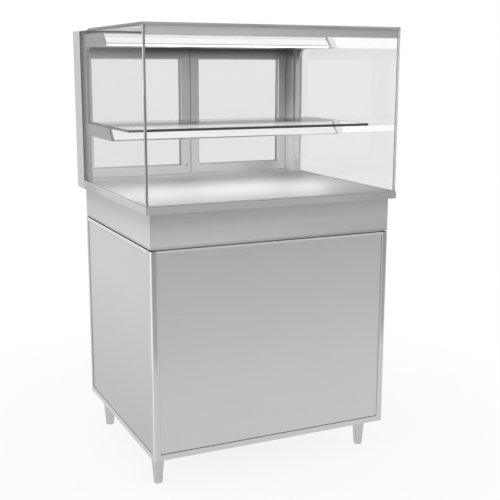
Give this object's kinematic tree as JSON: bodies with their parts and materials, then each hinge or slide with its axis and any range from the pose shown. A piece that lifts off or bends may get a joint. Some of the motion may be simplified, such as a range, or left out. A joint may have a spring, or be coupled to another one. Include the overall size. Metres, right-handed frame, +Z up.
{
  "type": "refrigerated display case",
  "caption": "Free-standing refrigerated counter display: square glass case with a lit glass shelf on a stainless deck, closed base cabinet on legs, and hinged rear doors.",
  "frame": {"origin": "on the floor, in the middle of the overall width and depth", "axes": "+Z up, +Y towards the service side with the doors, -Y towards the customer side with the front glass, +X to the right seen from the customer side"},
  "size_m": [0.85, 0.782, 1.412],
  "materials": {
    "stainless_panels": "fine brushed stainless sheet",
    "stainless_frame": "satin stainless sections",
    "stainless_deck": "satin stainless worktop",
    "stainless_doors": "satin stainless door profiles",
    "side_plate_steel": "grey powder coat",
    "grey_band": "satin grey strip",
    "pane_glass": "clear toughened glass",
    "diffuser": "opal acrylic",
    "leg_steel": "satin stainless",
    "foot_steel": "turned stainless",
    "bright_metal": "polished",
    "galvanised": "zinc coated sheet",
    "black_enamel": "black enamel",
    "rubber": "matt",
    "fins": "mill finish",
    "copper": "drawn copper",
    "foam": "rigid foam",
    "black_plastic": "moulded",
    "rocker_plastic": "moulded, glossy"
  },
  "bodies": {
    "case": {"base_floor": "galvanised", "bottom_rails": "stainless_frame", "cable_gland": "black_plastic", "compressor": "black_enamel", "compressor_grommets": "rubber", "condenser": "fins", "controller": "black_plastic", "corner_posts": "stainless_frame", "deck_plate": "stainless_deck", "evaporator_coil": "copper", "fan_motor": "black_enamel", "fan_shroud": "galvanised", "filter_drier": "copper", "front_band": "grey_band", "front_glass": "pane_glass", "front_panel": "stainless_panels", "left_glass": "pane_glass", "left_panel": "stainless_panels", "leg_bearers": "galvanised", "legs": "leg_steel", "plate_screws": "bright_metal", "rear_columns": "stainless_frame", "rear_header": "stainless_frame", "rear_sill": "stainless_frame", "refrigerant_pipes": "copper", "right_glass": "pane_glass", "right_panel": "stainless_panels", "shelf_diffuser": "diffuser", "shelf_glass": "pane_glass", "shelf_light_box": "side_plate_steel", "side_plate_left": "side_plate_steel", "side_plate_right": "side_plate_steel", "switch_housings": "black_plastic", "top_cap": "stainless_frame", "top_diffuser": "diffuser", "top_glass": "pane_glass", "top_light_box": "side_plate_steel", "top_rails": "stainless_frame", "unit_skid": "galvanised", "well_casing": "stainless_panels", "well_insulation": "foam"},
    "rear_door_left": {"door_left_frame": "stainless_doors", "door_left_glass": "pane_glass", "door_left_pins": "bright_metal", "door_left_pull": "bright_metal"},
    "service_door_left": {"service_door_left": "stainless_panels", "service_knob_left": "bright_metal"},
    "foot_front_left": {"foot_front_left": "foot_steel"},
    "foot_rear_left": {"foot_rear_left": "foot_steel"},
    "rear_door_right": {"door_right_frame": "stainless_doors", "door_right_glass": "pane_glass", "door_right_pins": "bright_metal", "door_right_pull": "bright_metal"},
    "service_door_right": {"service_door_right": "stainless_panels", "service_knob_right": "bright_metal"},
    "foot_front_right": {"foot_front_right": "foot_steel"},
    "foot_rear_right": {"foot_rear_right": "foot_steel"},
    "fan": {"fan_blades": "fins"},
    "power_rocker": {"power_rocker": "rocker_plastic"},
    "light_rocker": {"light_rocker": "rocker_plastic"}
  },
  "joints": [
    {"name": "rear_door_left_hinge", "type": "hinge", "parent": "case", "child": "rear_door_left", "pos_m": [-0.385, 0.357, 1.1], "axis": [0, 0, 1], "range_deg": [0, 90]},
    {"name": "service_door_left_hinge", "type": "hinge", "parent": "case", "child": "service_door_left", "pos_m": [-0.377, 0.315, 0.44], "axis": [0, 0, 1], "range_deg": [0, 90]},
    {"name": "foot_front_left_turn", "type": "hinge", "parent": "case", "child": "foot_front_left", "pos_m": [-0.368, -0.291, 0.011], "axis": [0, 0, 1], "continuous": true},
    {"name": "foot_rear_left_turn", "type": "hinge", "parent": "case", "child": "foot_rear_left", "pos_m": [-0.368, 0.241, 0.011], "axis": [0, 0, 1], "continuous": true},
    {"name": "rear_door_right_hinge", "type": "hinge", "parent": "case", "child": "rear_door_right", "pos_m": [0.385, 0.357, 1.1], "axis": [0, 0, -1], "range_deg": [0, 90]},
    {"name": "service_door_right_hinge", "type": "hinge", "parent": "case", "child": "service_door_right", "pos_m": [0.377, 0.315, 0.44], "axis": [0, 0, -1], "range_deg": [0, 90]},
    {"name": "foot_front_right_turn", "type": "hinge", "parent": "case", "child": "foot_front_right", "pos_m": [0.368, -0.291, 0.011], "axis": [0, 0, 1], "continuous": true},
    {"name": "foot_rear_right_turn", "type": "hinge", "parent": "case", "child": "foot_rear_right", "pos_m": [0.368, 0.241, 0.011], "axis": [0, 0, 1], "continuous": true},
    {"name": "fan_spin", "type": "hinge", "parent": "case", "child": "fan", "pos_m": [0.19, 0.203, 0.275], "axis": [0, 1, 0], "continuous": true},
    {"name": "power_rocker_tip", "type": "hinge", "parent": "case", "child": "power_rocker", "pos_m": [-0.1, 0.323, 0.824], "axis": [-1, 0, 0], "range_deg": [0, 20]},
    {"name": "light_rocker_tip", "type": "hinge", "parent": "case", "child": "light_rocker", "pos_m": [-0.06, 0.323, 0.824], "axis": [-1, 0, 0], "range_deg": [0, 20]}
  ]
}
